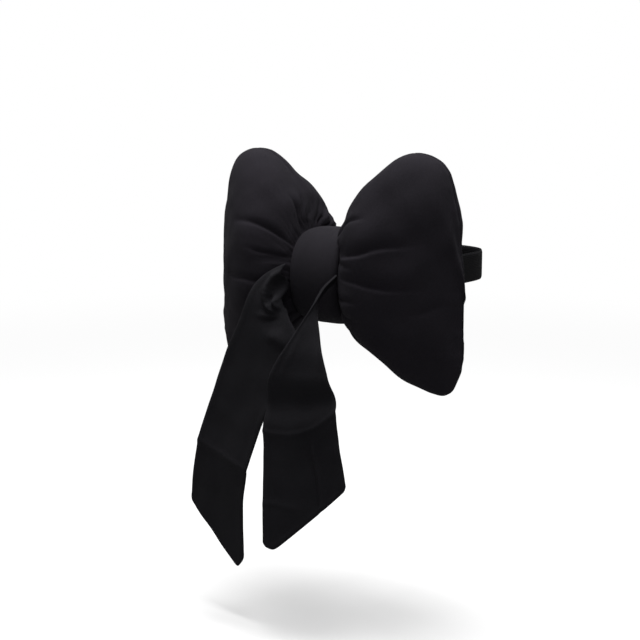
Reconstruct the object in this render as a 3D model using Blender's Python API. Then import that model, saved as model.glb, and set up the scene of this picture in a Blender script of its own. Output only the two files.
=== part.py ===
"""Car neck pillow in the form of a bow: a stuffed cushion, a knot band, two ribbon tails and a back strap.

Metres, +Z up. X runs across the bow and -Y is its front. The origin is the middle of the knot, in the plane
of the seam that joins the cushion's front and back panels. Every piece is placed from the cushion and the
band that it is sewn to, so a change of one size carries its neighbours along.
"""

import math

import bmesh
import bpy
import numpy as np
from mathutils import Vector
from mathutils.bvhtree import BVHTree

# Cushion: the edge seam, and how far the stuffing stands out of its plane
HALF_SPAN = 0.140
WING_RISE = 0.1135
WING_DROP = 0.106
FRONT_LOFT = 0.066
BACK_LOFT = 0.0464
REST_DEPTH = 0.044
WAIST_RISE = 0.038
WAIST_DROP = 0.043
WAIST_FRONT = 0.040
WAIST_BACK = 0.033
BACK_SPRING = 0.017

# Knot band, a flat loop round the waist
BAND_WIDTH = 0.054
BAND_THICKNESS = 0.0055
BAND_HEM = 0.0030
BAND_CLEARANCE = 0.0004

# Ribbon tails, each two layers of cloth with a slanted end
TAIL_WIDTH = 0.078
TAIL_THICKNESS = 0.0024
LEFT_CUT_RISE = 0.056
RIGHT_CUT_RISE = 0.062
LEFT_TAIL_DROP = 0.287
RIGHT_TAIL_DROP = 0.254
TAIL_GAP = 0.0006
TAIL_PLEAT = 0.0030
TAIL_FORWARD = 0.020

# Back strap, a loop of wide elastic sewn flat to the back of both wings
STRAP_WIDTH = 0.028
STRAP_THICKNESS = 0.0018
STRAP_HEIGHT = 0.006
STRAP_REACH = 0.120
STRAP_HALF_LOOP = 0.110
STRAP_TAB = 0.013
STRAP_TAB_MARGIN = 0.017
STRAP_GAP = 0.0005
STRAP_FOLD = 0.006

# The strap in plan beyond its tab. The fold: outwards and backwards from the tab, in folds. The loop: shares of
# its half width and of its reach
FOLD_ROUTE = ((0.75, 0.25), (0.50, 1.75))
LOOP_ROUTE = ((1.00, 0.70), (0.88, 0.88), (0.60, 0.97))

# The band's section: where its inner and outer sides have points, as shares of half its width
BAND_INSIDE = (-0.96, -0.5, 0, 0.5, 0.96)
BAND_OUTSIDE = (1.0, 0.97, 0.86, 0.62, 0.32, 0, -0.32, -0.62, -0.86, -0.97, -1.0)
BAND_CROWN_POWER = 4
BAND_EDGE_SHARE = 0.5

# The edge seam of a wing from the waist round to its outer side, as shares of the wing's length and of its
# rise or drop. Both halves end at the same point of the outer side.
TOP_SEAM = (
    (0.012, 0.440),
    (0.050, 0.590),
    (0.100, 0.680),
    (0.262, 0.860),
    (0.490, 1.021),
    (0.746, 0.978),
    (0.851, 0.829),
    (0.930, 0.494),
    (0.990, 0.109),
)
BOTTOM_SEAM = (
    (0.100, 0.541),
    (0.290, 0.680),
    (0.460, 0.866),
    (0.795, 1.008),
    (0.892, 0.968),
    (0.992, 0.724),
    (0.999, 0.431),
)
OUTER_POINT = -0.19

# Where along a wing its front and back are fullest, and how quickly they thin towards the outer seam
FRONT_FULLEST = 0.31
BACK_FULLEST = 0.24
FRONT_TAPER = 1.7
BACK_TAPER = 2.2
OUTWARD_BULGE = 0.5

# How round a section is, from square shoulders at low values to a lens at high ones: in the waist, where the
# cloth springs out beside the band, and in the open wing, with the shares of the wing where these hold
WAIST_ROUNDNESS = 0.72
SHOULDER_ROUNDNESS = 0.45
BACK_SHOULDER_ROUNDNESS = 0.48
WING_ROUNDNESS = 0.92
SHOULDER_AT = 0.02
OPEN_AT = 0.70
BACK_OPEN_AT = 0.32

# Creases that run out from the knot: angle round the wing in degrees (0 top seam, 90 middle of the front,
# 180 bottom seam, 270 middle of the back), share of the full depth, and share of the wing that they reach
CREASE_DEPTH = 0.005
RIGHT_CREASES = (
    (34, 1.0, 0.22),
    (70, 1.2, 0.60),
    (99, 1.0, 0.62),
    (124, 0.8, 0.30),
    (154, 1.0, 0.34),
    (222, 1.0, 0.36),
    (262, 1.0, 0.40),
    (308, 1.0, 0.36),
)
LEFT_CREASES = (
    (26, 0.8, 0.26),
    (48, 1.2, 0.42),
    (70, 1.2, 0.66),
    (98, 1.0, 0.70),
    (140, 1.0, 0.34),
    (228, 1.0, 0.36),
    (270, 1.0, 0.40),
    (312, 1.0, 0.36),
)
CREASE_HALF_ANGLE = 8.0
CREASE_START = 0.06

# The route of a tail's middle from its root beside the knot to its end. Each station gives how far outwards
# it lies as a share of the tail's width, the share of the tail's drop, how far it hangs in front of the
# cushion's fullest point as a share of TAIL_FORWARD, the share of its full width that is spread, the slant of
# the line across it (degrees, positive with the inner edge higher) and its turn (degrees, positive with the
# inner edge in front)
LEFT_ROUTE = (
    (0.00, 0.035, -1.20, 0.44, -88, 0),
    (0.035, 0.070, -0.63, 0.50, -72, 2),
    (0.05, 0.120, 0.07, 0.60, -56, 3),
    (0.105, 0.220, 0.60, 0.78, -40, 3),
    (0.205, 0.310, 0.75, 0.92, -28, 3),
    (0.37, 0.410, 0.83, 0.89, -14, 4),
    (0.585, 0.570, 0.93, 0.90, -5, 10),
    (0.735, 0.740, 0.97, 0.93, -2, 13),
    (0.79, 1.000, 1.00, 0.96, 0, 12),
)
RIGHT_ROUTE = (
    (0.01, 0.035, -1.15, 0.38, 88, 0),
    (0.00, 0.075, -0.43, 0.16, 80, 10),
    (-0.033, 0.115, 0.22, 0.14, 60, 20),
    (-0.057, 0.165, 0.58, 0.25, 24, 24),
    (-0.081, 0.219, 0.75, 0.39, 10, 20),
    (-0.112, 0.296, 0.84, 0.63, 4, 17),
    (-0.137, 0.367, 0.96, 0.80, 0, 16),
    (-0.134, 0.430, 1.02, 0.90, -3, 16),
    (-0.110, 0.572, 1.10, 0.945, 0, 17),
    (-0.067, 0.780, 1.10, 1.01, 0, 20),
    (-0.043, 1.000, 1.10, 1.03, 0, 21),
)
PLEATS = 1.5
PLEATED_TO = 0.38
TIP_INSET = 0.12
LEFT_TIP_BEVEL = 0.20
RIGHT_TIP_BEVEL = 0.08

# Laying cloth on a surface: rounds of pushing clear, and how squarely a point has to lie behind the nearest
# face before it counts as inside
LAYING_ROUNDS = 5
INSIDE_SHARE = 0.7

# Mesh fineness
WING_STATIONS = 25
AROUND = 46
BAND_AROUND = 44
TAIL_ROWS = 44
TAIL_COLUMNS = 13
SEAM_SAMPLES = 160
STRAP_STEPS = 72
STRAP_ROWS = 5
CURVE_STEPS = 20


def smooth_line(points, count):
    """Evenly spaced points on a smooth curve through the given ones."""
    given = np.asarray(points, float)
    padded = np.vstack([2 * given[0] - given[1], given, 2 * given[-1] - given[-2]])
    ahead = padded[2:] - padded[:-2]
    ahead /= np.linalg.norm(ahead, axis=1)[:, None]
    t = np.linspace(0, 1, CURVE_STEPS, endpoint=False)[:, None]
    line = []
    for start, end, leave, arrive in zip(given, given[1:], ahead, ahead[1:]):
        reach = np.linalg.norm(end - start)
        line.append(
            (2 * t**3 - 3 * t**2 + 1) * start
            + (t**3 - 2 * t**2 + t) * reach * leave
            + (3 * t**2 - 2 * t**3) * end
            + (t**3 - t**2) * reach * arrive
        )
    line = np.vstack([*line, given[-1]])
    along = np.concatenate([[0], np.cumsum(np.linalg.norm(np.diff(line, axis=0), axis=1))])
    wanted = np.linspace(0, along[-1], count)
    return np.stack([np.interp(wanted, along, column) for column in line.T], axis=1)


def make_material(name, colour, roughness):
    made = bpy.data.materials.new(name)
    made.use_nodes = True
    shader = made.node_tree.nodes["Principled BSDF"]
    shader.inputs["Base Color"].default_value = (*colour, 1)
    shader.inputs["Roughness"].default_value = roughness
    made.diffuse_color = (*colour, 1)
    return made


def add_object(name, points, faces, finish):
    """A mesh object with its faces turned outwards and shaded smooth."""
    mesh = bpy.data.meshes.new(name)
    mesh.from_pydata([tuple(map(float, p)) for p in points], [], faces)
    shape = bmesh.new()
    shape.from_mesh(mesh)
    bmesh.ops.recalc_face_normals(shape, faces=shape.faces)
    shape.to_mesh(mesh)
    shape.free()
    mesh.shade_smooth()
    mesh.materials.append(finish)
    made = bpy.data.objects.new(name, mesh)
    bpy.context.collection.objects.link(made)
    return made


def grid_faces(rows, columns, closed_rows=False, closed_columns=False):
    """Quads of a grid whose points are numbered row by row."""
    faces = []
    for i in range(rows if closed_rows else rows - 1):
        below = (i + 1) % rows * columns
        for j in range(columns if closed_columns else columns - 1):
            beside = (j + 1) % columns
            faces.append((i * columns + j, i * columns + beside, below + beside, below + j))
    return faces


def surface_of(made):
    """The object's surface, for laying other pieces on it."""
    bpy.context.view_layer.update()
    return BVHTree.FromObject(made, bpy.context.evaluated_depsgraph_get())


def wing_start():
    """How far from the middle a wing starts, just clear of the band's edge."""
    return BAND_WIDTH / 2 + BAND_CLEARANCE


def seam_ends():
    """The top and bottom ends of each loop round a wing, in the seam plane, from the waist outwards."""
    waist = wing_start()
    length = HALF_SPAN - waist
    top = [(waist, WAIST_RISE)]
    top += [(waist + along * length, up * WING_RISE) for along, up in TOP_SEAM]
    bottom = [(waist, -WAIST_DROP)]
    bottom += [(waist + along * length, -down * WING_DROP) for along, down in BOTTOM_SEAM]
    outer = (HALF_SPAN, OUTER_POINT * WING_DROP)
    share = np.linspace(0, 1, SEAM_SAMPLES)
    # the loops lie closer together towards the outer side, where the surface turns most
    wanted = np.sin(np.linspace(0, math.pi / 2, WING_STATIONS))
    ends = []
    for points in (top, bottom):
        line = smooth_line([*points, outer], SEAM_SAMPLES)
        line[:, 0] = np.clip(line[:, 0], waist, HALF_SPAN)
        ends.append(np.stack([np.interp(wanted, share, column) for column in line.T], axis=1))
    return ends


def eased(value, start, end):
    """0 before start and 1 after end, with a smooth change between them."""
    t = np.clip((value - start) / (end - start), 0, 1)
    return t * t * (3 - 2 * t)


def loft(share, waist, most, fullest, taper):
    """How far the stuffing stands out of the seam plane, at a share of the wing's length."""
    rise = waist + (most - waist) * np.sin(np.clip(share / fullest, 0, 1) * math.pi / 2)
    beyond = np.clip((share - fullest) / (1 - fullest), 0, 1)
    return np.where(share < fullest, rise, most * (1 - beyond**taper))


def creased(angle, share, creases):
    """How much of its loft each point keeps, from 1 on the smooth cushion to less in a crease."""
    taken = np.zeros(share.shape)
    for middle, depth, reach in creases:
        away = (np.degrees(angle) - middle + 180) % 360 - 180
        across = np.exp(-((away / CREASE_HALF_ANGLE) ** 2))
        fade = np.clip(share / CREASE_START, 0, 1) * np.clip(1 - share / reach, 0, 1)
        taken = taken + CREASE_DEPTH * depth * across * fade
    return 1 - taken / FRONT_LOFT


def round_section(angle, front, back, roundness):
    """Depth of a section's outline: front and back lofts meet on the seam at angles 0 and 180 degrees."""
    across = np.sin(angle)
    depth = np.where(across > 0, front, back)
    return -depth * np.sign(across) * np.abs(across) ** roundness


def wing_loops(side, creases):
    """Loops of points round one wing, from the waist outwards. side is 1 for +X and -1 for -X."""
    waist = wing_start()
    length = HALF_SPAN - waist
    top, bottom = seam_ends()
    angle = np.linspace(0, 2 * math.pi, AROUND, endpoint=False)
    up = (1 + np.cos(angle)) / 2
    down = 1 - up
    furthest = np.maximum(top[:, :1], bottom[:, :1])
    middle_share = ((top[:, :1] + bottom[:, :1]) / 2 - waist) / length
    bulge = OUTWARD_BULGE * (HALF_SPAN - furthest) * middle_share * np.sin(angle) ** 2
    x = top[:, :1] * up + bottom[:, :1] * down + bulge
    z = top[:, 1:] * up + bottom[:, 1:] * down
    share = np.clip((x - waist) / length, 0, 1)
    front = loft(share, WAIST_FRONT, FRONT_LOFT, FRONT_FULLEST, FRONT_TAPER)
    shoulder = eased(share, 0, SHOULDER_AT)
    back = loft(share, WAIST_BACK + BACK_SPRING * shoulder, BACK_LOFT, BACK_FULLEST, BACK_TAPER)
    in_front = np.sin(angle) > 0
    square = np.where(in_front, SHOULDER_ROUNDNESS, BACK_SHOULDER_ROUNDNESS)
    opened = eased(share, SHOULDER_AT, np.where(in_front, OPEN_AT, BACK_OPEN_AT))
    roundness = WAIST_ROUNDNESS + (square - WAIST_ROUNDNESS) * shoulder + (WING_ROUNDNESS - square) * opened
    y = round_section(angle, front, back, roundness)
    # a crease draws the surface in towards the middle of its loop
    kept = creased(angle, share, creases)
    middle = (top[:, 1:] + bottom[:, 1:]) / 2
    z = middle + (z - middle) * kept
    return np.stack([side * x, np.minimum(y * kept, REST_DEPTH), z], axis=2)


def make_cushion(finish):
    """One closed, stuffed body: left wing, waist and right wing as loops from one outer side to the other."""
    left = wing_loops(-1, LEFT_CREASES)
    right = wing_loops(1, RIGHT_CREASES)
    waist = right[0] * np.array([0, 1, 1])
    loops = [*left[-2::-1], waist, *right[:-1]]
    points = np.concatenate([*loops, left[-1][:1], right[-1][:1]])
    faces = grid_faces(len(loops), AROUND, closed_columns=True)
    left_end = len(points) - 2
    right_end = len(points) - 1
    last = (len(loops) - 1) * AROUND
    for j in range(AROUND):
        beside = (j + 1) % AROUND
        faces.append((left_end, beside, j))
        faces.append((right_end, last + j, last + beside))
    return add_object("bow_cushion", points, faces, finish)


def waist_ring(out):
    """Points round the waist in the YZ plane, moved outwards by a distance."""
    angle = np.linspace(0, 2 * math.pi, BAND_AROUND, endpoint=False)
    y = round_section(angle, WAIST_FRONT, WAIST_BACK, WAIST_ROUNDNESS)
    z = (WAIST_RISE - WAIST_DROP) / 2 + (WAIST_RISE + WAIST_DROP) / 2 * np.cos(angle)
    ahead = np.stack([np.roll(y, -1) - np.roll(y, 1), np.roll(z, -1) - np.roll(z, 1)], axis=1)
    outward = np.stack([ahead[:, 1], -ahead[:, 0]], axis=1)
    outward /= np.linalg.norm(outward, axis=1)[:, None]
    return np.stack([y, z], axis=1) + out * outward


def make_band(finish):
    """The closed band round the waist: thin hems at its two edges and a fuller middle."""
    half = BAND_WIDTH / 2
    inner = BAND_CLEARANCE
    profile = [(share * half, inner) for share in BAND_INSIDE]
    for share in BAND_OUTSIDE:
        crown = 1 - abs(share) ** BAND_CROWN_POWER
        edge = BAND_EDGE_SHARE if abs(share) == 1 else 1
        profile.append((share * half, inner + edge * (BAND_HEM + (BAND_THICKNESS - BAND_HEM) * crown)))
    points = []
    for x, out in profile:
        ring = waist_ring(out)
        points.append(np.column_stack([np.full(BAND_AROUND, x), ring]))
    faces = grid_faces(len(profile), BAND_AROUND, closed_rows=True, closed_columns=True)
    return add_object("knot_band", np.concatenate(points), faces, finish)


def laid_clear(points, behind, gap):
    """Moves each point out of, and a gap clear of, the surfaces that the cloth lies on."""
    for _ in range(LAYING_ROUNDS):
        for surface in behind:
            for i, point in enumerate(points):
                place, normal, _, _ = surface.find_nearest(Vector(point))
                away = Vector(point) - place
                inside = away.dot(normal) < -INSIDE_SHARE * away.length
                if inside or away.length < gap:
                    points[i] = np.array(place + normal * gap)
    return points


def route_line(route, side, drop):
    """The tail's middle, evenly spaced, and the half width, slant and turn at each of its points."""
    root = BAND_WIDTH / 2 + TAIL_GAP
    middle = []
    for outward, down, forward, _, _, _ in route:
        middle.append((side * (root + outward * TAIL_WIDTH), -(FRONT_LOFT + forward * TAIL_FORWARD), -down * drop))
    line = smooth_line(middle, TAIL_ROWS)
    spread = []
    for column, unit in ((3, TAIL_WIDTH / 2), (4, math.radians(1)), (5, math.radians(1))):
        stations = smooth_line([(row[1], row[column] * unit) for row in route], SEAM_SAMPLES)
        spread.append(np.interp(-line[:, 2] / drop, stations[:, 0], stations[:, 1]))
    return line, spread


def make_tail(name, side, drop, cut_rise, bevel, route, behind, finish):
    """A ribbon tail from its root beside the knot band to its slanted end. side is 1 for +X, -1 for -X."""
    line, (half, slant, turn) = route_line(route, side, drop)
    across = np.linspace(-1, 1, TAIL_COLUMNS)
    # the inner edge is the longer one, and the tip sits a little in from it
    tip = 1 - 2 * TIP_INSET
    cut = np.where(across < tip, (tip - across) / (tip + 1), (across - tip) / (1 - tip) * bevel)
    row = np.arange(TAIL_ROWS)
    points = []
    for i in row:
        at = i * (1 - cut * cut_rise / drop)
        middle = np.stack([np.interp(at, row, column) for column in line.T], axis=1)
        reach = np.interp(at, row, half) * across
        tilt = np.interp(at, row, slant)
        yaw = np.interp(at, row, turn)
        step = np.stack(
            [-side * np.cos(tilt) * np.cos(yaw), -np.cos(tilt) * np.sin(yaw), np.sin(tilt)], axis=1
        )
        down = -middle[:, 2] / drop
        pleat = TAIL_PLEAT * np.clip(1 - down / PLEATED_TO, 0, 1) * np.cos(2 * math.pi * PLEATS * across)
        middle[:, 1] -= pleat
        points += list(middle + reach[:, None] * step)
    points = laid_clear(points, behind, TAIL_THICKNESS / 2 + TAIL_GAP)
    ribbon = add_object(name, points, grid_faces(TAIL_ROWS, TAIL_COLUMNS), finish)
    wall = ribbon.modifiers.new("layers", "SOLIDIFY")
    wall.thickness = TAIL_THICKNESS
    wall.offset = 0
    return ribbon


def flat_patch_end():
    """How far from the knot the flat part of a wing's back ends."""
    beyond = (1 - REST_DEPTH / BACK_LOFT) ** (1 / BACK_TAPER)
    share = BACK_FULLEST + (1 - BACK_FULLEST) * beyond
    return wing_start() + share * (HALF_SPAN - wing_start())


def strap_heights(count):
    """Heights spread over the strap's width."""
    return STRAP_HEIGHT + np.linspace(-STRAP_WIDTH / 2, STRAP_WIDTH / 2, count)


def back_depth(back, x):
    """The furthest that the cushion's back stands out across the strap's width, at one distance from the knot."""
    depths = []
    for z in strap_heights(STRAP_ROWS):
        place, _, _, _ = back.ray_cast(Vector((x, HALF_SPAN, z)), Vector((0, -1, 0)))
        depths.append(place.y)
    return max(depths)


def strap_route(back):
    """The middle of the strap in plan: along one wing's back, folded over, round and back to the other wing."""
    out = STRAP_THICKNESS / 2 + STRAP_GAP
    start = flat_patch_end() + STRAP_TAB_MARGIN
    tab = [np.array([x, back_depth(back, x) + out]) for x in np.linspace(start, start + STRAP_TAB, 3)]
    fold = tab[-1] + np.array(FOLD_ROUTE) * STRAP_FOLD
    loop = np.array(LOOP_ROUTE) * np.array([STRAP_HALF_LOOP, STRAP_REACH])
    half = [*tab, *fold, *loop]
    other = [point * np.array([-1, 1]) for point in half[::-1]]
    line = smooth_line([*half, np.array([0, STRAP_REACH]), *other], STRAP_STEPS)
    # the tabs follow the stuffing at a small gap over the strap's whole width
    for _ in range(LAYING_ROUNDS):
        for point in line:
            for z in strap_heights(STRAP_ROWS):
                place, normal, _, _ = back.find_nearest(Vector((*point, z)))
                off = (Vector((*point, z)) - place).dot(normal)
                if off < out:
                    point += np.array(normal.xy) * (out - off)
    return line


def make_strap(cushion, finish):
    """The back strap: a tab sewn on the back of each wing, folded over and joined by one loop."""
    line = strap_route(surface_of(cushion))
    ahead = np.gradient(line, axis=0)
    ahead /= np.linalg.norm(ahead, axis=1)[:, None]
    beside = np.stack([-ahead[:, 1], ahead[:, 0]], axis=1) * STRAP_THICKNESS / 2
    rise = strap_heights(3)
    section = [(-1, z) for z in rise] + [(1, z) for z in rise[::-1]]
    points = []
    for place, offset in zip(line, beside):
        points += [(*(place + side * offset), z) for side, z in section]
    faces = grid_faces(STRAP_STEPS, len(section), closed_columns=True)
    faces.append(tuple(range(len(section))))
    faces.append(tuple(range(len(points) - 1, len(points) - len(section) - 1, -1)))
    return add_object("back_strap", points, faces, finish)


def main():
    for old in list(bpy.data.objects):
        bpy.data.objects.remove(old)
    cotton = make_material("black_cotton", (0.020, 0.019, 0.023), 0.85)
    ribbon = make_material("black_ribbon", (0.021, 0.020, 0.024), 0.70)
    webbing = make_material("black_elastic", (0.012, 0.012, 0.014), 0.80)
    cushion = make_cushion(cotton)
    band = make_band(ribbon)
    behind = [surface_of(cushion), surface_of(band)]
    left_end = (LEFT_TAIL_DROP, LEFT_CUT_RISE, LEFT_TIP_BEVEL)
    right_end = (RIGHT_TAIL_DROP, RIGHT_CUT_RISE, RIGHT_TIP_BEVEL)
    left = make_tail("left_tail", -1, *left_end, LEFT_ROUTE, behind, ribbon)
    behind.append(surface_of(left))
    make_tail("right_tail", 1, *right_end, RIGHT_ROUTE, behind, ribbon)
    make_strap(cushion, webbing)


main()
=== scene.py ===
"""Dresses the bow-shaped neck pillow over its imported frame.

The stuffed cushion is drawn in at its waist, so that gathers and creases run out from the knot band over both
wings. Two lined ribbon tails hang from the sides of the band, and an elastic strap is sewn to the back.
Metres, +Z up. X runs across the bow, -Y is its front, and the origin is the middle of the knot.
"""

import math

import bmesh
import bpy
import numpy as np
from mathutils import Matrix, Vector
from mathutils.bvhtree import BVHTree


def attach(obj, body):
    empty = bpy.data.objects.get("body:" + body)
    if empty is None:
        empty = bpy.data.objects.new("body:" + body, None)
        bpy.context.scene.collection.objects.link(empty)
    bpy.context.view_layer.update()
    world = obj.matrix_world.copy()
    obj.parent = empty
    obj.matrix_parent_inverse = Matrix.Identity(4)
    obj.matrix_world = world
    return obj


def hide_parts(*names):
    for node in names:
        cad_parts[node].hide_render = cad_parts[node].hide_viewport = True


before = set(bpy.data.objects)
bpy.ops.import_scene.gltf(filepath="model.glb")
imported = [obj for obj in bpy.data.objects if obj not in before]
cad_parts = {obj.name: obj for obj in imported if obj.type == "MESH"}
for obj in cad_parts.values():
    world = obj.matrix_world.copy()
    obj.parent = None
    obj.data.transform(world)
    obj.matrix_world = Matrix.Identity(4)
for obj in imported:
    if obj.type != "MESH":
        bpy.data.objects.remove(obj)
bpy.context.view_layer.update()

# Camera: its distance and its turn and height in degrees, the lens in millimetres, and where the origin falls
# in the frame of 640 pixels
CAMERA_DISTANCE = 1.3
CAMERA_TURN = 34.0
CAMERA_HEIGHT = 8.0
LENS = 75.54
SENSOR = 36.0
FRAME_SIZE = 640
ORIGIN_PIXEL = (337.5, 272.0)

# Cushion. A seam's points are shares of a wing's length, and of its rise or its drop.
HALF_SPAN = 0.140
WING_RISE = 0.1135
WING_DROP = 0.106
FRONT_LOFT = 0.066
BACK_LOFT = 0.0464
REST_DEPTH = 0.044
REST_ROUNDING = 0.003
WAIST_RISE = 0.038
WAIST_DROP = 0.043
WAIST_FRONT = 0.040
WAIST_BACK = 0.033
BACK_SPRING = 0.017
TOP_SEAM = (
    (0.012, 0.440),
    (0.050, 0.590),
    (0.100, 0.680),
    (0.262, 0.860),
    (0.490, 1.021),
    (0.746, 0.978),
    (0.851, 0.829),
    (0.930, 0.494),
    (0.990, 0.109),
)
BOTTOM_SEAM = (
    (0.100, 0.541),
    (0.290, 0.680),
    (0.460, 0.866),
    (0.795, 1.008),
    (0.892, 0.968),
    (0.992, 0.724),
    (0.999, 0.431),
)
OUTER_POINT = -0.19
FRONT_FULLEST = 0.31
BACK_FULLEST = 0.24
FRONT_TAPER = 1.7
BACK_TAPER = 2.2
OUTWARD_BULGE = 0.5
WAIST_ROUNDNESS = 0.72
SHOULDER_ROUNDNESS = 0.45
BACK_SHOULDER_ROUNDNESS = 0.48
WING_ROUNDNESS = 0.92
SHOULDER_AT = 0.02
OPEN_AT = 0.70
BACK_OPEN_AT = 0.32
SEAM_POINTS = 900
WING_STATIONS = 120
AROUND = 400
OVERHANG = 0.009
FULLNESS = 0.0034

# Slight lumps in the stuffing: shortest and longest wave in metres, number, seed, and height in millimetres
LUMPS = ((0.040, 0.085, 14, 21, 0.75), (0.018, 0.034, 18, 22, 0.18))

# Edge seam, in millimetres: its groove's depth and half width, the height, distance and half width of the
# ridges beside it, and the puckers' height and how soon they fade
SEAM_GROOVE = (1.1, 1.3)
SEAM_RIDGE = (0.35, 4.2, 2.4)
SEAM_PUCKER = (0.22, 7)

# Gathers in the cloth beside the band: how many go round the waist, their height in millimetres, and how far
# they reach out along the wing
GATHERS = ((11, 0.70, 0.026), (17, 0.60, 0.018), (27, 0.45, 0.011), (37, 0.30, 0.007))

# Creases of a wing: stations (share from waist to outer side, angle round it in degrees), depth, and in
# millimetres the width of the gentle upper side and of the steep lower side. Angle 0 is the top seam, 90 the
# middle of the front, 180 the bottom seam.
RIGHT_CREASES = (
    (((0, 38), (0.06, 43), (0.117, 49), (0.15, 53.5), (0.17, 55)), 2.2, 2.5, 1.5),
    (((0.03, 62), (0.06, 70), (0.09, 74), (0.144, 77), (0.19, 75.8), (0.252, 76.6),
      (0.31, 73)), 4.0, 9.0, 1.5),
    (((0.03, 86), (0.07, 91), (0.11, 93.3), (0.167, 96.8), (0.229, 98), (0.27, 97.1),
      (0.32, 95)), 3.0, 7.0, 1.5),
    (((0, 66), (0.05, 76), (0.10, 83), (0.14, 86)), 1.2, 3.0, 1.8),
    (((0, 112.8), (0.077, 108.5), (0.109, 108.5), (0.145, 108)), 1.8, 3.0, 1.4),
    (((0, 131), (0.05, 127), (0.10, 125), (0.14, 124)), 1.8, 4.0, 2.0),
    (((0, 152), (0.06, 149), (0.13, 147)), 2.4, 4.0, 2.4),
    (((0.26, 111), (0.291, 108.3), (0.323, 104.9), (0.36, 99.8), (0.40, 96)), 1.1, 5.0, 1.8),
    (((0, 14), (0.05, 16), (0.12, 20)), 2.2, 3.5, 2.0),
    (((0, 196), (0.08, 200), (0.17, 205)), 2.8, 4.5, 2.4),
    (((0, 222), (0.10, 226), (0.20, 231), (0.27, 234)), 3.4, 6.0, 2.4),
    (((0, 250), (0.08, 252), (0.15, 252)), 2.2, 4.0, 2.2),
    (((0, 274), (0.09, 276), (0.20, 281), (0.29, 283)), 3.4, 6.5, 2.4),
    (((0, 301), (0.08, 303), (0.16, 308)), 2.6, 4.5, 2.2),
    (((0, 325), (0.08, 326), (0.20, 330)), 2.8, 5.0, 2.2),
    (((0, 346), (0.07, 345), (0.13, 346)), 2.0, 3.5, 2.0),
)
LEFT_CREASES = (
    (((0, 20.5), (0.01, 18.5), (0.027, 14), (0.047, 11.2), (0.067, 11.5), (0.086, 12.6),
      (0.12, 14)), 3.2, 3.4, 2.0),
    (((0, 12), (0.026, 8.3), (0.052, 4.4), (0.082, 2.4), (0.11, 1)), 2.8, 2.2, 1.7),
    (((0, 8), (0.019, 5.1), (0.045, 0.5), (0.073, -1.1), (0.10, -3)), 2.6, 2.0, 1.6),
    (((0, 0.5), (0.021, -0.7), (0.044, -3), (0.067, -6.6), (0.08, -8)), 2.4, 1.8, 1.5),
    (((0, -4.5), (0.018, -5.1), (0.038, -6.2), (0.059, -12.3), (0.07, -14)), 2.4, 1.8, 1.5),
    (((0, -17), (0.018, -18.3), (0.033, -15.7), (0.053, -20.1), (0.07, -22)), 2.2, 1.8, 1.5),
    (((0, -33), (0.02, -33.5), (0.038, -29.5), (0.055, -26), (0.07, -25)), 2.2, 1.8, 1.5),
    (((0, 47.7), (0.039, 53.4), (0.069, 55.5), (0.118, 57.4), (0.151, 60.5), (0.198, 65.4),
      (0.24, 69)), 2.7, 3.6, 1.5),
    (((0.03, 69), (0.05, 72), (0.069, 74.4), (0.094, 76.3), (0.114, 76.6), (0.15, 76.5)), 2.0, 2.4, 1.4),
    (((0, 64.5), (0.008, 65.3), (0.056, 75.9), (0.083, 79.5), (0.11, 82)), 1.7, 2.4, 1.4),
    (((0, 71), (0.014, 72.7), (0.05, 78), (0.084, 82.2), (0.11, 84)), 1.3, 2.2, 1.4),
    (((0, 97), (0.05, 99), (0.102, 99.7), (0.135, 99), (0.195, 98.4), (0.259, 96.6),
      (0.30, 94)), 2.2, 4.0, 1.5),
    (((0, 120), (0.07, 118), (0.14, 117)), 2.4, 4.0, 2.2),
    (((0, 144), (0.07, 140), (0.16, 139)), 2.8, 4.5, 2.4),
    (((0, 166), (0.06, 163), (0.12, 162)), 2.2, 4.0, 2.4),
    (((0, 193), (0.07, 198), (0.15, 202)), 2.6, 4.5, 2.4),
    (((0, 221), (0.09, 224), (0.20, 228)), 3.2, 5.5, 2.4),
    (((0, 244), (0.07, 247), (0.13, 251)), 2.2, 4.0, 2.2),
    (((0, 268), (0.10, 268), (0.24, 264)), 3.4, 6.5, 2.4),
    (((0, 293), (0.08, 297), (0.15, 299)), 2.4, 4.0, 2.2),
    (((0, 317), (0.09, 320), (0.19, 325)), 2.4, 4.5, 2.2),
)

# Knot band. BAND_HEM is its thickness in the hems, and the lap is a step that fades out over LAP_REACH.
BAND_WIDTH = 0.054
BAND_THICKNESS = 0.0055
BAND_HEM = 0.0030
BAND_CLEARANCE = 0.0004
BAND_AROUND = 220
BAND_ACROSS = 44
BAND_LOOP = 0.30
LAP_STEP = 0.0010
LAP_REACH = 0.020
WING_START = BAND_WIDTH / 2 + BAND_CLEARANCE
WING_LENGTH = HALF_SPAN - WING_START

# Soft folds round the band: place and sway in shares of its half width, phase, and depth in millimetres
BAND_FOLDS = ((-0.42, 0.10, 0.4, 0.30), (0.12, 0.14, 2.1, 0.25), (0.52, 0.08, 4.0, 0.40))

# Ribbon tails. TAIL_HEM is how far the middle of the turned hem lies from the edge.
TAIL_WIDTH = 0.078
TAIL_CLOTH = 0.0016
TAIL_EDGE = 0.0026
TAIL_HEM = 0.004
TAIL_HEM_SPREAD = 0.0032
TAIL_RIM = 0.0013
LEFT_CUT_RISE = 0.056
RIGHT_CUT_RISE = 0.062
LEFT_TAIL_DROP = 0.290
RIGHT_TAIL_DROP = 0.254
TAIL_GAP = 0.0006
TAIL_FORWARD = 0.020
TIP_INSET = 0.12
LEFT_TIP_BEVEL = 0.20
RIGHT_TIP_BEVEL = 0.08
CUT_SHARPNESS = 24
TAIL_ROWS = 240
TAIL_COLUMNS = 72

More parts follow.
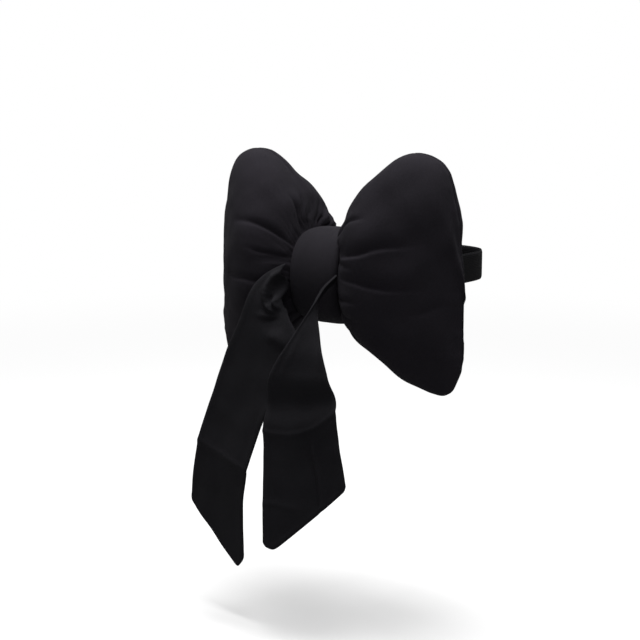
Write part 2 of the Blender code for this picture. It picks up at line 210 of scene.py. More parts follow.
# Folds of the tails: a line in X and Z, height (negative for a hollow) and half width, in millimetres
LEFT_FOLDS = (
    (((-22, 6.5), (-27.6, 4.2), (-31, 0.5), (-33.5, -6), (-35.5, -13)), 9.5, 3.8),
    (((-35.5, -13), (-35.5, -19.4), (-33.5, -24.8), (-30.4, -29.6), (-26, -32.3)), 5.0, 2.4),
    (((-26.5, -1), (-28.4, -8.2), (-28.1, -14.7)), -5.0, 3.6),
    (((-32.4, -18), (-33.1, -25.3)), -3.0, 2.2),
    (((-21.3, -12.4), (-24.1, -19.2)), 6.0, 1.9),
    (((-25.9, -21.8), (-21.5, -19.8), (-18.6, -22)), 5.0, 1.8),
    (((-27.5, -18), (-26.6, -23.9), (-23.4, -29)), 7.0, 2.2),
    (((-40.3, -35.6), (-32.4, -36.1), (-26.4, -36.9)), 1.7, 2.8),
    (((-32.4, -40.9), (-23.7, -39.6)), -1.4, 2.6),
    (((-29.5, -53.4), (-20.5, -55.6), (-10.1, -64)), 3.0, 6.0),
    (((-13.1, -32.1), (-9.5, -47.8), (-8.4, -66.3)), -4.0, 5.0),
)
RIGHT_FOLDS = (
    (((27, -5), (22, -16), (19, -26)), 1.2, 1.6),
    (((18, -40), (12, -60), (2, -84)), 0.5, 2.6),
)

# Slopes of the right tail, and of the roll across it: each one's rise in millimetres, and the shares of the
# drop between which it rises
RIGHT_SLOPES = ((5.4, 0.12, 0.31), (-6.4, 0.325, 0.445))
RIGHT_ROLL = ((4.2, 0.43, 0.52), (-2.6, 0.53, 0.62))

# The route of a tail's middle: how far outwards it lies as a share of the tail's width, its share of the
# drop, how far in front of the cushion's fullest point it lies as a share of TAIL_FORWARD, the share of the
# half width that is spread there, and the slant and the turn of the line across it, in degrees
LEFT_ROUTE = (
    (0.00, 0.020, -0.95, 0.44, -88, 0),
    (-0.010, 0.070, -0.28, 0.688, -63, -4),
    (-0.020, 0.118, 0.05, 0.89, -48, -10),
    (0.060, 0.225, 0.45, 0.92, -38, -6),
    (0.190, 0.310, 0.66, 0.95, -28, 0),
    (0.37, 0.410, 0.80, 0.89, -14, 4),
    (0.598, 0.570, 0.93, 0.93, -5, 7),
    (0.764, 0.740, 0.95, 0.95, -2, 7),
    (0.872, 1.000, 0.95, 1.00, 0, 6),
)
RIGHT_ROUTE = (
    (0.003, -0.004, -1.05, 0.10, 104, 0),
    (-0.052, 0.030, -0.55, 0.12, 108, 4),
    (-0.080, 0.066, -0.12, 0.12, 104, 12),
    (-0.058, 0.105, 0.22, 0.14, 70, 20),
    (-0.060, 0.145, 0.46, 0.22, 36, 24),
    (-0.070, 0.185, 0.64, 0.30, 18, 22),
    (-0.081, 0.219, 0.75, 0.39, 10, 20),
    (-0.112, 0.296, 0.84, 0.63, 4, 17),
    (-0.131, 0.367, 0.96, 0.80, 0, 16),
    (-0.106, 0.430, 1.02, 0.88, -3, 16),
    (-0.100, 0.572, 1.10, 0.94, 0, 17),
    (-0.048, 0.780, 1.10, 1.05, 0, 20),
    (-0.028, 1.000, 1.10, 1.09, 0, 21),
)

# Back strap. Its fold is routed in shares of STRAP_FOLD, and its loop in shares of its half width and reach.
STRAP_WIDTH = 0.028
STRAP_THICKNESS = 0.0018
STRAP_HEIGHT = 0.006
STRAP_REACH = 0.120
STRAP_HALF_LOOP = 0.110
STRAP_TAB = 0.013
STRAP_TAB_MARGIN = 0.017
STRAP_GAP = 0.0005
STRAP_FOLD = 0.006
FOLD_ROUTE = ((0.75, 0.25), (0.50, 1.75))
LOOP_ROUTE = ((1.00, 0.70), (0.88, 0.88), (0.60, 0.97))
STRAP_STEPS = 260
STRAP_ACROSS = 15

# Stitches. They run STITCH_INSET inside the edges, and LAP_ROWS are the heights of two rows at the band's lap.
STITCH_PITCH = 0.0029
STITCH_LENGTH = 0.0024
STITCH_WIDTH = 0.0006
STITCH_INSET = 0.0022
LAP_ROWS = (0.0010, 0.0062)

# Cloths: the dark and the light of their dye (for the tails also painted shade), threads in a metre, sheen,
# roughness and strength of relief
CUSHION_COTTON = ((0.0098, 0.0086, 0.0114), (0.0160, 0.0141, 0.0184), 2200, 0.006, 0.90, 0.55)
BAND_COTTON = ((0.0104, 0.0093, 0.0119), (0.0165, 0.0149, 0.0188), 2200, 0.006, 0.88, 0.55)
# The tails' dark and light are set lower than the cushion's: painted shade on the hanging tails.
SHADED_TAIL_COTTON = ((0.0070, 0.0067, 0.0083), (0.0118, 0.0112, 0.0137), 1900, 0.0, 0.80, 0.60)
WEAVE_DEPTH = 0.00018
FUZZ_DEPTH = 0.0006
GAP_SHADE = 0.55
RIB_PITCH = 0.0016
CROSS_PITCH = 0.0007

# Floor and light
FLOOR_HEIGHT = -0.345
SURROUND_LIGHT = 0.52
LAMP_PLACE = (-0.02, -0.10, 1.9)
LAMP_TARGET = (0, 0, -0.05)
LAMP_SIZE = (1.1, 0.9)
LAMP_POWER = 63

# A millimetre, and how many times its spread a blur reaches to each side
MM = 0.001
BLUR_REACH = 3

# Inputs and output of a colour Mix node
MIX_SHARE = 0
MIX_FIRST = 6
MIX_SECOND = 7
MIX_COLOUR = 2


def run_along(line):
    """Distance run along a line, at each of its points."""
    return np.concatenate([[0], np.cumsum(np.linalg.norm(np.diff(line, axis=0), axis=1))])


def points_at(wanted, known, line):
    """Points of a line at the wanted values, where its own points stand at the known ones."""
    return np.stack([np.interp(wanted, known, column) for column in line.T], axis=1)


def smooth_line(points, count):
    """Evenly spaced points on a smooth curve through the given ones."""
    given = np.asarray(points, float)
    padded = np.vstack([2 * given[0] - given[1], given, 2 * given[-1] - given[-2]])
    ahead = padded[2:] - padded[:-2]
    ahead /= np.linalg.norm(ahead, axis=1)[:, None]
    t = np.linspace(0, 1, 40, endpoint=False)[:, None]
    line = []
    for start, end, leave, arrive in zip(given, given[1:], ahead, ahead[1:]):
        reach = np.linalg.norm(end - start)
        line.append(
            (2 * t**3 - 3 * t**2 + 1) * start
            + (t**3 - 2 * t**2 + t) * reach * leave
            + (3 * t**2 - 2 * t**3) * end
            + (t**3 - t**2) * reach * arrive
        )
    line = np.vstack([*line, given[-1]])
    along = run_along(line)
    return points_at(np.linspace(0, along[-1], count), along, line)


def blurred(padded, spread):
    """A padded line averaged over its neighbours. It loses its padding."""
    reach = int(BLUR_REACH * spread)
    weights = np.exp(-0.5 * (np.arange(-reach, reach + 1) / spread) ** 2)
    weights /= weights.sum()
    return np.stack([np.convolve(column, weights, "valid") for column in padded.T], axis=1)


def softened(line, spread):
    """The line with its small corners rounded off, and its two ends kept."""
    reach = int(BLUR_REACH * spread)
    ends = np.linspace(0, 1, len(line))[:, None] * (line[-1] - line[0]) + line[0]
    off = line - ends
    return ends + blurred(np.vstack([-off[reach:0:-1], off, -off[-2 : -reach - 2 : -1]]), spread)


def softened_loop(loop, spread):
    """A closed loop with its small corners rounded off."""
    reach = int(BLUR_REACH * spread)
    return blurred(np.vstack([loop[-reach:], loop, loop[:reach]]), spread)


def full_turn(count):
    return np.linspace(0, 2 * math.pi, count, endpoint=False)


def bell(off, width):
    """1 at no distance, falling softly to nothing over about twice the width."""
    return np.exp(-((off / width) ** 2))


def eased(value, start, end):
    """0 before start and 1 after end, with a smooth change between them."""
    t = np.clip((value - start) / (end - start), 0, 1)
    return t * t * (3 - 2 * t)


def waves(points, shortest, longest, count, seed):
    """A smooth, uneven field of about -1 to 1 over the points, from waves of the given lengths in metres."""
    chance = np.random.default_rng(seed)
    total = np.zeros(points.shape[:-1])
    for _ in range(count):
        direction = chance.normal(size=3)
        direction /= np.linalg.norm(direction)
        length = chance.uniform(shortest, longest)
        total += np.sin(points @ direction * (2 * math.pi / length) + chance.uniform(0, 2 * math.pi))
    return total / math.sqrt(count / 2)


def grid_normals(grid, around=False):
    """Unit normals of a grid of points, turned so that rows x columns gives their side."""
    down = np.gradient(grid, axis=0)
    if around:
        across = np.roll(grid, -1, axis=1) - np.roll(grid, 1, axis=1)
    else:
        across = np.gradient(grid, axis=1)
    normal = np.cross(across, down)
    return normal / (np.linalg.norm(normal, axis=2, keepdims=True) + 1e-12)


def arc_lengths(grid, axis):
    """Distance run along each row or column of a grid of points."""
    step = np.linalg.norm(np.diff(grid, axis=axis), axis=2)
    first = np.zeros_like(np.take(step, [0], axis=axis))
    return np.concatenate([first, np.cumsum(step, axis=axis)], axis=axis)


def grid_faces(rows, columns, closed_rows=False, closed_columns=False):
    """Quads of a grid whose points are numbered row by row."""
    i, j = np.mgrid[: rows - (not closed_rows), : columns - (not closed_columns)]
    below = (i + 1) % rows * columns
    beside = (j + 1) % columns
    quads = np.stack([i * columns + j, i * columns + beside, below + beside, below + j], axis=2)
    return quads.reshape(-1, 4).tolist()


def placed_object(name, data):
    made = bpy.data.objects.new(name, data)
    bpy.context.collection.objects.link(made)
    return made


def cloth_object(name, points, faces, material, cloth_uv):
    """A smooth mesh object with outward faces, and its cloth laid out in metres as a UV map."""
    mesh = bpy.data.meshes.new(name)
    mesh.from_pydata(np.asarray(points, float).tolist(), [], faces)
    corners = np.empty(len(mesh.loops), np.int32)
    mesh.loops.foreach_get("vertex_index", corners)
    layer = mesh.uv_layers.new(name="cloth")
    layer.data.foreach_set("uv", np.asarray(cloth_uv, np.float32)[corners].ravel())
    shape = bmesh.new()
    shape.from_mesh(mesh)
    bmesh.ops.recalc_face_normals(shape, faces=shape.faces)
    shape.to_mesh(mesh)
    shape.free()
    mesh.shade_smooth()
    mesh.materials.append(material)
    made = placed_object(name, mesh)
    return made


def surface_of(made):
    bpy.context.view_layer.update()
    return BVHTree.FromObject(made, bpy.context.evaluated_depsgraph_get())


# The stuffed cushion


def seam_ends(shares):
    """Top and bottom ends of each loop round a wing, in the seam plane, from the waist outwards."""
    outer = (HALF_SPAN, OUTER_POINT * WING_DROP)
    wanted = np.sin(shares * math.pi / 2)
    place = np.linspace(0, 1, SEAM_POINTS)
    ends = []
    for seam, waist, reach in ((TOP_SEAM, WAIST_RISE, WING_RISE), (BOTTOM_SEAM, -WAIST_DROP, -WING_DROP)):
        points = [(WING_START + a * WING_LENGTH, b * reach) for a, b in seam]
        line = softened(smooth_line([(WING_START, waist), *points, outer], SEAM_POINTS), 9)
        line[:, 0] = np.clip(line[:, 0], WING_START, HALF_SPAN)
        ends.append(points_at(wanted, place, line))
    return ends


def loft(share, waist, most, fullest, taper):
    """How far the stuffing stands out of the seam plane, at a share of the wing's length."""
    rise = waist + (most - waist) * np.sin(np.clip(share / fullest, 0, 1) * math.pi / 2)
    beyond = np.clip((share - fullest) / (1 - fullest), 0, 1)
    return np.where(share < fullest, rise, most * (1 - beyond**taper))


def overhang(side, x, y, z):
    """How far the stuffing bulges over the band's edge at a wing's top: behind, and in front on the right."""
    waist_middle = (WAIST_RISE - WAIST_DROP) / 2
    waist_height = (WAIST_RISE + WAIST_DROP) / 2
    around = np.hypot((z - waist_middle) / waist_height, y / np.where(y > 0, WAIST_BACK, WAIST_FRONT))
    out = (around - 1) * waist_height
    band = BAND_CLEARANCE + BAND_THICKNESS
    ring = eased(out, band - 0.5 * MM, band + 1.5 * MM) * (1 - eased(out, band + 9 * MM, band + 24 * MM))
    front = eased(-y, 0.012, 0.024) if side > 0 else 0
    place = (eased(y, 0.010, 0.024) + front) * eased(z, 0.026, 0.038)
    return OVERHANG * ring * place * np.exp(-(x - WING_START) / (7 * MM))


def wing_surface(side, shares, angles):
    """Points of the full, smooth wing: one row for each share of its length, one column for each angle."""
    top, bottom = seam_ends(shares)
    up = (1 + np.cos(angles)) / 2
    down = 1 - up
    furthest = np.maximum(top[:, :1], bottom[:, :1])
    middle_share = ((top[:, :1] + bottom[:, :1]) / 2 - WING_START) / WING_LENGTH
    bulge = OUTWARD_BULGE * (HALF_SPAN - furthest) * middle_share * np.sin(angles) ** 2
    x = top[:, :1] * up + bottom[:, :1] * down + bulge
    z = top[:, 1:] * up + bottom[:, 1:] * down
    share = np.clip((x - WING_START) / WING_LENGTH, 0, 1)
    front = loft(share, WAIST_FRONT, FRONT_LOFT, FRONT_FULLEST, FRONT_TAPER)
    sprung = WAIST_BACK + BACK_SPRING * eased(share, 0, SHOULDER_AT)
    back = loft(share, sprung, BACK_LOFT, BACK_FULLEST, BACK_TAPER)
    shoulder = eased(share, 0, SHOULDER_AT)
    across = np.sin(angles) + 0 * share
    opened = eased(share, SHOULDER_AT, np.where(across > 0, OPEN_AT, BACK_OPEN_AT))
    square = np.where(across > 0, SHOULDER_ROUNDNESS, BACK_SHOULDER_ROUNDNESS)
    roundness = WAIST_ROUNDNESS + (square - WAIST_ROUNDNESS) * shoulder
    roundness = roundness + (WING_ROUNDNESS - square) * opened
    depth = np.where(across > 0, front, back)
    y = -depth * np.sign(across) * np.abs(across) ** roundness
    x = x - overhang(side, x, y, z)
    over = (y - REST_DEPTH) / REST_ROUNDING
    y = np.where(over > -4, REST_DEPTH - REST_ROUNDING * np.log1p(np.exp(-np.clip(over, -30, 30))), y)
    return np.stack([side * x, y, z], axis=2)


def on_wing(side, stations, count):
    """Points along a crease, given by its stations on the wing."""
    place = np.linspace(0, 1, len(stations))
    shares, turns = points_at(np.linspace(0, 1, count), place, np.array(stations)).T
    grid = wing_surface(side, shares, np.radians(turns)[None, :])
    return grid[np.arange(count), np.arange(count)]


def off_line(points, line):
    """Each point's distance from a line, its share of the line there, and whether it lies above the line."""
    up = np.eye(line.shape[1])[-1]
    nearest = np.full(points.shape[:-1], np.inf)
    share = np.zeros(points.shape[:-1])
    above = np.zeros(points.shape[:-1], bool)
    for k in range(len(line) - 1):
        start = line[k]
        run = line[k + 1] - start
        t = np.clip((points - start) @ run / (run @ run), 0, 1)
        off = points - start - t[..., None] * run
        away = np.linalg.norm(off, axis=-1)
        upwards = up - run * run[-1] / (run @ run)
        closer = away < nearest
        nearest = np.where(closer, away, nearest)
        share = np.where(closer, (k + t) / (len(line) - 1), share)
        above = np.where(closer, off @ upwards > 0, above)
    return nearest, share, above


def crease_depths(side, grid, creases):
    """How far each point is drawn in: a gentle slope above each crease and a short, steep one below it."""
    out = np.zeros(grid.shape[:2])
    for stations, depth, upper, lower in creases:
        line = on_wing(side, stations, 24)
        away, share, above = off_line(grid, line)
        starts_at_knot = stations[0][0] == 0
        begin = 0.35 + 0.65 * eased(share, 0, 0.3) if starts_at_knot else eased(share, 0, 0.4)
        fade = begin * (1 - eased(share, 0.55, 1.0))
        widening = 0.45 + 0.55 * eased(share, 0, 0.4)
        gentle = np.exp(-((away / (upper * MM * widening)) ** 1.3))
        steep = np.exp(-((away / (lower * MM * widening)) ** 1.7))
        swell = bell(away - 2.4 * upper * MM, 1.4 * upper * MM)
        valley = np.where(above, gentle, steep)
        out += depth * MM * fade * (0.12 * swell - valley)
    return out


def seam_puckers(grid, shares):
    """The edge seam: a narrow groove between two soft ridges, with small puckers across it."""
    off = np.abs(grid[:, :, 1]) / MM
    depth, half_width = SEAM_GROOVE
    groove = -depth * bell(off, half_width)
    height, away, half_width = SEAM_RIDGE
    ridge = height * bell(off - away, half_width)
    height, fading = SEAM_PUCKER
    pucker = height * waves(grid * np.array([1, 0, 1]), 0.011, 0.021, 10, 5) * np.exp(-off / fading)
    return (groove + ridge + pucker) * MM * eased(shares, 0.02, 0.10)[:, None]


def waist_gathers(side, grid, angles):
    """Fine pleats pressed into the cloth where the band draws it in: rounded backs and sharp valleys."""
    away = np.clip(np.abs(grid[:, :, 0]) - BAND_WIDTH / 2, 0, None)
    rise = np.clip(np.abs(grid[:, :, 2]) - WAIST_RISE, 0, None)
    away = np.hypot(away, 0.7 * rise)
    chance = np.random.default_rng(11 if side > 0 else 12)
    out = np.zeros(grid.shape[:2])
    for count, size, reach in GATHERS:
        turn = chance.uniform(0, 2 * math.pi)
        sway = chance.uniform(0.5, 1.2)
        strength = 0.65 + 0.35 * np.sin(2 * angles + chance.uniform(0, 2 * math.pi))
        if side > 0:
            strength = strength * (1 - 0.55 * bell(np.degrees(angles) - 85, 40))
        phase = (count * angles + turn + sway * np.sin(3 * angles + turn)) / 2
        pleat = 1.6 * np.abs(np.sin(phase)) ** 0.7 - 1
        out += size * MM * strength * pleat * np.exp(-away / reach)
    return out


def upper_fullness(side, shares, angles):
    """The stuffing that stands fuller in the upper front of the right wing."""
    if side < 0:
        return 0
    rows = eased(shares, 0.12, 0.35) * (1 - eased(shares, 0.75, 0.97))
    columns = bell(np.degrees(angles) - 59, 15)
    return FULLNESS * rows[:, None] * columns[None, :]


def dressed_wing(side, shares, angles, creases):
    """One stuffed wing with its creases, gathers, seam and slight lumps."""
    grid = wing_surface(side, shares, angles)
    normal = grid_normals(grid, around=True) * side
    normal[-1] = (side, 0, 0)
    out = crease_depths(side, grid, creases)
    out += waist_gathers(side, grid, angles)
    out += upper_fullness(side, shares, angles)
    out += seam_puckers(grid, shares)
    lumps = sum(waves(grid, *field) * height for *field, height in LUMPS)
    out += lumps * MM * eased(shares, 0.0, 0.12)[:, None]
    still = np.clip((1 - shares) / 0.02, 0, 1)[:, None]
    return grid + normal * (out * still)[..., None]


def panel_cloth(grid):
    """Each panel's cloth laid flat: metres out from the waist, and up or down from the panel's middle."""
    around = np.concatenate([grid, grid[:, :1]], axis=1)
    run = arc_lengths(around, 1)[:, :-1]
    quarter = AROUND // 4
    front = run - run[:, quarter : quarter + 1]
    back = run[:, 3 * quarter : 3 * quarter + 1] - run
    column = np.arange(AROUND)
    return np.stack([arc_lengths(grid, 0), np.where(column <= 2 * quarter, front, back)], axis=2)


def make_cushion(material):
    """The bow cushion: both wings and the waist between them as one closed, stuffed body."""
    shares = np.linspace(0, 1, WING_STATIONS)
    angles = full_turn(AROUND)
    left = dressed_wing(-1, shares, angles, LEFT_CREASES)
    right = dressed_wing(1, shares, angles, RIGHT_CREASES)
    waist = (right[0] + left[0]) * np.array([0, 0.5, 0.5])
    loops = np.stack([*left[-2::-1], waist, *right[:-1]])
    points = np.concatenate([loops.reshape(-1, 3), left[-1][:1], right[-1][:1]])
    faces = grid_faces(len(loops), AROUND, closed_columns=True)
    left_end = len(points) - 2
    right_end = len(points) - 1
    last = (len(loops) - 1) * AROUND
    for j in range(AROUND):
        beside = (j + 1) % AROUND
        faces.append((left_end, beside, j))
        faces.append((right_end, last + j, last + beside))
    left_cloth = panel_cloth(left) * np.array([-1, 1])
    right_cloth = panel_cloth(right)
    cloth = np.stack([*left_cloth[-2::-1], right_cloth[0], *right_cloth[:-1]]).reshape(-1, 2)
    cloth = np.concatenate([cloth, left_cloth[-1][:1], right_cloth[-1][:1]])
    return cloth_object("stuffed_bow", points, faces, material, cloth)


# The knot band


def waist_ring(out, angle):
    """Points round the waist in the YZ plane, moved outwards by a distance."""
    across = np.sin(angle)
    y = -np.where(across > 0, WAIST_FRONT, WAIST_BACK) * np.sign(across) * np.abs(across) ** WAIST_ROUNDNESS
    z = (WAIST_RISE - WAIST_DROP) / 2 + (WAIST_RISE + WAIST_DROP) / 2 * np.cos(angle)
    ring = softened_loop(np.stack([y, z], axis=1), 2.0)
    ahead = np.roll(ring, -1, axis=0) - np.roll(ring, 1, axis=0)
    outward = np.stack([ahead[:, 1], -ahead[:, 0]], axis=1)
    outward /= np.linalg.norm(outward, axis=1)[:, None]
    return ring + np.asarray(out).reshape(-1, 1) * outward


def lapped_end(angle):
    """Extra thickness where the band's end laps over its start, at the middle of the back."""
    past = (angle - 1.5 * math.pi) * (WAIST_RISE + WAIST_DROP) / 2
    return LAP_STEP * eased(past, 0, 0.0012) * (1 - eased(past, 0.004, LAP_REACH))


def make_band(material):
    """The knot band: a closed sleeve of folded cloth with rolled edges and a few soft folds round it."""
    half = BAND_WIDTH / 2
    angle = full_turn(BAND_AROUND)
    loops = []
    lengths = []
    for share in np.linspace(-0.94, 0.94, 12):
        ring = waist_ring(BAND_CLEARANCE, angle)
        loops.append(np.column_stack([np.full(BAND_AROUND, share * half), ring]))
        lengths.append(share * half)
    for share in np.sin(np.linspace(math.pi / 2, -math.pi / 2, BAND_ACROSS)):
        crown = 1 - abs(share) ** 4
        edge = math.sqrt(max(0.0, 1 - abs(share) ** 14))
        top = BAND_HEM + (BAND_THICKNESS - BAND_HEM) * crown
        folds = 0
        for place, sway, phase, size in BAND_FOLDS:
            middle = place + sway * np.sin(angle + phase) + 0.05 * np.sin(3 * angle + phase)
            strength = 0.55 + 0.45 * np.sin(2 * angle + 2 * phase)
            folds = folds - size * MM * strength * bell(share - middle, 0.10)
        out = BAND_CLEARANCE + edge * (top + folds * crown + lapped_end(angle))
        ring = waist_ring(out, angle)
        sway = 0.5 * MM * np.sin(2 * angle + 0.7) * (1 - crown) * np.sign(share)
        loops.append(np.column_stack([share * half + sway, ring]))
        lengths.append(2 * half - share * half)
    loops = np.array(loops)
    run = np.linspace(0, BAND_LOOP, BAND_AROUND)
    uv = np.stack(np.broadcast_arrays(np.array(lengths)[:, None], run[None, :]), axis=2).reshape(-1, 2)
    faces = grid_faces(len(loops), BAND_AROUND, closed_rows=True, closed_columns=True)
    return cloth_object("folded_knot_band", loops.reshape(-1, 3), faces, material, uv)


# The two ribbon tails


def laid_clear(points, behind, gap):
    """Moves each point out of, and a gap clear of, the surfaces that the cloth lies on."""
    for _ in range(3):
        for surface in behind:
            for i, point in enumerate(points):
                place, normal, _, _ = surface.find_nearest(Vector(point), 0.03)
                if place is None:
                    continue
                away = Vector(point) - place
                inside = away.dot(normal) < -0.7 * away.length
                if inside or away.length < gap:
                    points[i] = np.array(place + normal * gap)
    return points


def route_line(route, side, drop):
    """The tail's middle, evenly spaced, and the half width, slant and turn at each of its points."""
    root = BAND_WIDTH / 2 + TAIL_GAP
    middle = []
    for outward, down, forward, _, _, _ in route:
        x = side * (root + outward * TAIL_WIDTH)
        middle.append((x, -(FRONT_LOFT + forward * TAIL_FORWARD), -down * drop))
    line = softened(smooth_line(middle, TAIL_ROWS), 5)
    spread = []
    for column, unit in ((3, TAIL_WIDTH / 2), (4, math.radians(1)), (5, math.radians(1))):
        stations = smooth_line([(row[1], row[column] * unit) for row in route], 400)
        at = np.interp(-line[:, 2] / drop, stations[:, 0], stations[:, 1])
        spread.append(softened(at[:, None], 5)[:, 0])
    return line, spread


def fold_heights(sheet, folds):
    """Forward swell of a tail from its folds, each a line in X and Z with a height and a half width."""
    out = np.zeros(sheet.shape[:2])
    for line, height, half_width in folds:
        nearest, share, _ = off_line(sheet[:, :, [0, 2]], np.array(line) * MM)
        ends = 0.35 + 0.65 * np.sin(np.clip(share, 0, 1) * math.pi) ** 0.6
        out += height * MM * ends * bell(nearest, half_width * MM)
    return out


def left_tail_form(a, down):
    """Broad shape of the left tail: a slanting bend low down and a shallow hollow along its middle."""
    bend = down - (0.605 + 0.025 * a)
    form = 1.0 * bell(bend, 0.012) - 30.0 * np.clip(bend, 0, 0.40)
    form = form - 0.8 * bell(a - 0.15 * np.sin(9 * down), 0.40) * eased(down, 0.36, 0.5)
    return form * MM


def right_tail_form(a, down):
    """Broad shape of the right tail: a sloping top, a turn under it, a soft roll and a long faint crease."""
    rolled = down - 0.024 * a * (1 - a)
    form = sum(rise * eased(down, start, end) for rise, start, end in RIGHT_SLOPES)
    form = form + sum(rise * eased(rolled, start, end) for rise, start, end in RIGHT_ROLL)
    brow = down - 0.543 - 0.043 * a * (1 - a)
    form = form + 0.9 * bell(brow, 0.010)
    tall = eased(down, 0.56, 0.61) * (1 - eased(down, 0.80, 0.90))
    crease = a + 0.36 - 0.05 * np.sin(14 * down)
    form = form + 2.5 * bell(crease, 0.050) * tall
    fold = down - 0.823 - 0.006 * np.sin(6 * a)
    form = form + 0.55 * bell(fold, 0.011) * eased(a, 0.0, 0.3)
    return form * MM


def hem_share(off):
    """How far into the turned hem a place lies, at a distance from the tail's edge."""
    return bell(off - TAIL_HEM, TAIL_HEM_SPREAD)


def rim_share(off):
    """The share of its thickness that the tail keeps in its rounded rim, at a distance from its edge."""
    return np.sqrt(np.clip(off / TAIL_RIM, 0, 1))


def cut_line(a, bevel):
    """Where the slanted end runs across the tail: 0 at its tip, and about 1 at its outer corner."""
    tip = 1 - 2 * TIP_INSET
    long_side = CUT_SHARPNESS * (tip - a) / (tip + 1)
    short_side = CUT_SHARPNESS * (a - tip) / (1 - tip) * bevel
    cut = np.logaddexp(long_side, short_side) / CUT_SHARPNESS - 0.01
    return cut + 0.05 * np.clip((np.abs(a) - 0.92) / 0.08, 0, 1) ** 2


def make_tail(name, side, drop, cut_rise, bevel, route, form, folds, behind, material):
    """A lined ribbon tail with turned edges, from its root beside the knot band to its slanted end."""
    line, (half, slant, turn) = route_line(route, side, drop)
    a = np.sin(np.linspace(-math.pi / 2, math.pi / 2, TAIL_COLUMNS)) * 0.35
    a = a + np.linspace(-1, 1, TAIL_COLUMNS) * 0.65
    cut = cut_line(a, bevel)
    row = np.arange(TAIL_ROWS)
    sheet = np.zeros((TAIL_ROWS, TAIL_COLUMNS, 3))
    for i in row:
        at = i * (1 - cut * cut_rise / drop)
        middle = points_at(at, row, line)
        reach = np.interp(at, row, half) * a
        tilt = np.interp(at, row, slant)
        yaw = np.interp(at, row, turn)
        level = np.cos(tilt)
        step = np.stack([-side * level * np.cos(yaw), -level * np.sin(yaw), np.sin(tilt)], axis=1)
        down = -middle[:, 2] / drop
        middle[:, 1] -= form(a, down)
        sheet[i] = middle + reach[:, None] * step
    sheet[:, :, 1] -= fold_heights(sheet, folds)
    sheet = sheet + grid_normals(sheet) * (waves(sheet, 0.020, 0.055, 16, 31 + side) * 0.30 * MM)[..., None]
    side_off = (1 - np.abs(a)) * TAIL_WIDTH / 2
    end_off = (1 - row / (TAIL_ROWS - 1)) * drop
    hem = np.maximum(hem_share(side_off)[None, :], hem_share(end_off)[:, None])
    rim = np.minimum(rim_share(side_off)[None, :], rim_share(end_off)[:, None])
    thick = (TAIL_CLOTH + (TAIL_EDGE - TAIL_CLOTH) * hem) * np.maximum(rim, 0.02)
    sheet = laid_clear(sheet.reshape(-1, 3), behind, TAIL_EDGE / 2 + TAIL_GAP).reshape(sheet.shape)
    half_wall = grid_normals(sheet) * (thick / 2)[..., None]
    count = TAIL_ROWS * TAIL_COLUMNS
    points = np.concatenate([(sheet + half_wall).reshape(-1, 3), (sheet - half_wall).reshape(-1, 3)])
    faces = grid_faces(TAIL_ROWS, TAIL_COLUMNS)
    faces += [tuple(reversed([v + count for v in quad])) for quad in faces]
    number = np.arange(count).reshape(TAIL_ROWS, TAIL_COLUMNS)
    rim_line = np.concatenate([number[0], number[1:, -1], number[-1, -2::-1], number[-2:0:-1, 0]]).tolist()
    for here, there in zip(rim_line, rim_line[1:] + rim_line[:1]):
        faces.append((here, here + count, there + count, there))
    uv = np.stack([arc_lengths(sheet, 1), arc_lengths(sheet, 0)], axis=2).reshape(-1, 2)
    return cloth_object(name, points, faces, material, np.concatenate([uv, uv]))


# The elastic strap


def flat_patch_end():
    """How far from the knot the flat part of a wing's back ends."""
    beyond = (1 - REST_DEPTH / BACK_LOFT) ** (1 / BACK_TAPER)
    share = BACK_FULLEST + (1 - BACK_FULLEST) * beyond
    return WING_START + share * WING_LENGTH


def strap_heights(count):
    """Heights spread over the strap's width."""
    return STRAP_HEIGHT + np.linspace(-STRAP_WIDTH / 2, STRAP_WIDTH / 2, count)


def back_depth(back, x):
    """How far the cushion's back stands out at most within the strap's width, at a place across the bow."""
    depths = []
    for z in strap_heights(7):
        place, _, _, _ = back.ray_cast(Vector((x, HALF_SPAN, z)), Vector((0, -1, 0)))
        depths.append(place.y)
    return max(depths)


def strap_route(back):
    """The middle of the strap in plan: along a wing's back, folded over, and round to the other wing."""
    out = STRAP_THICKNESS / 2 + STRAP_GAP
    start = flat_patch_end() + STRAP_TAB_MARGIN
    tab = [np.array([x, back_depth(back, x) + out]) for x in np.linspace(start, start + STRAP_TAB, 3)]
    fold = tab[-1] + np.array(FOLD_ROUTE) * STRAP_FOLD
    loop = np.array(LOOP_ROUTE) * np.array([STRAP_HALF_LOOP, STRAP_REACH])
    half = [*tab, *fold, *loop]
    other = [point * np.array([-1, 1]) for point in half[::-1]]
    line = smooth_line([*half, np.array([0, STRAP_REACH]), *other], STRAP_STEPS)
    for _ in range(4):
        for point in line:
            for z in strap_heights(7):
                place, normal, _, _ = back.find_nearest(Vector((*point, z)))
                off = (Vector((*point, z)) - place).dot(normal)
                if off < out:
                    point += np.array(normal.xy) * (out - off)
    return softened(line, 1.5)


